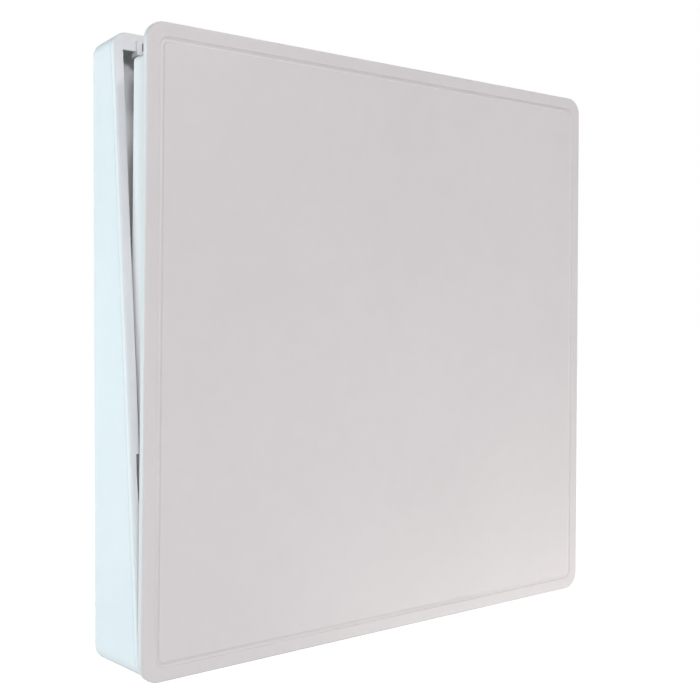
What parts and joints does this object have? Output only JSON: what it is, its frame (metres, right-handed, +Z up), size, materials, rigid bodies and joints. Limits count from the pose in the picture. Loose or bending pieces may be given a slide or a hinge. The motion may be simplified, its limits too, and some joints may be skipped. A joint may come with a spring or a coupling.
{
  "type": "access point",
  "caption": "Square wireless access point: a hinged cover carrying the radio case swings down from a wedge-shaped mounting box with a bezel and cable entry.",
  "frame": {"origin": "centre of the bracket's four screw holes, on the plane of the wall", "axes": "+Y into the wall, -Y out of the cover's face, +Z up towards the latch side, +X to the right seen from the front"},
  "size_m": [0.24, 0.0459, 0.2419],
  "materials": {
    "housing_white": "fine matte moulded white",
    "bezel_white": "fine matte moulded white",
    "cover_white": "fine matte moulded white",
    "case_white": "matte moulded white",
    "hinge_plastic": "matte moulded",
    "bracket_steel": "zinc plated",
    "steel": "zinc plated",
    "grommet_rubber": "matte",
    "spreader_aluminium": "milled",
    "board_green": "solder mask",
    "pad_grey": "soft",
    "jack_black": "moulded",
    "contact_gold": "plated",
    "switch_black": "moulded",
    "button_grey": "moulded"
  },
  "bodies": {
    "housing": {"rear_housing": "housing_white", "front_bezel": "bezel_white", "latch_keeper_left": "bezel_white", "latch_keeper_right": "bezel_white", "wall_bracket": "bracket_steel", "bracket_rivets": "steel", "cable_grommet": "grommet_rubber", "hinge_pin_left": "steel", "hinge_pin_right": "steel", "pin_clips": "steel"},
    "cover": {"front_cover": "cover_white", "radio_case": "case_white", "case_screws": "steel", "hinge_arm_left": "hinge_plastic", "hinge_arm_right": "hinge_plastic", "arm_screws": "steel", "latch_hook_left": "hinge_plastic", "latch_hook_right": "hinge_plastic", "main_board": "board_green", "board_screws": "steel", "shield_cans": "bracket_steel", "thermal_pads": "pad_grey", "heat_spreader": "spreader_aluminium", "low_band_antennas": "bracket_steel", "high_band_antennas": "bracket_steel", "lan_jack_main": "jack_black", "lan_jack_aux": "jack_black", "jack_contacts": "contact_gold", "reset_switch": "switch_black"},
    "reset_button": {"reset_button": "button_grey"}
  },
  "joints": [
    {"name": "cover_hinge", "type": "hinge", "parent": "housing", "child": "cover", "pos_m": [0, -0.02536, -0.11458], "axis": [1, 0, 0], "range_deg": [-5.9, 84]},
    {"name": "reset_press", "type": "slide", "parent": "cover", "child": "reset_button", "axis": [0, -0.9996, -0.0279], "range_m": [0, 0.0006], "stiffness_N_per_m": 1500, "springref_m": -0.0002}
  ]
}
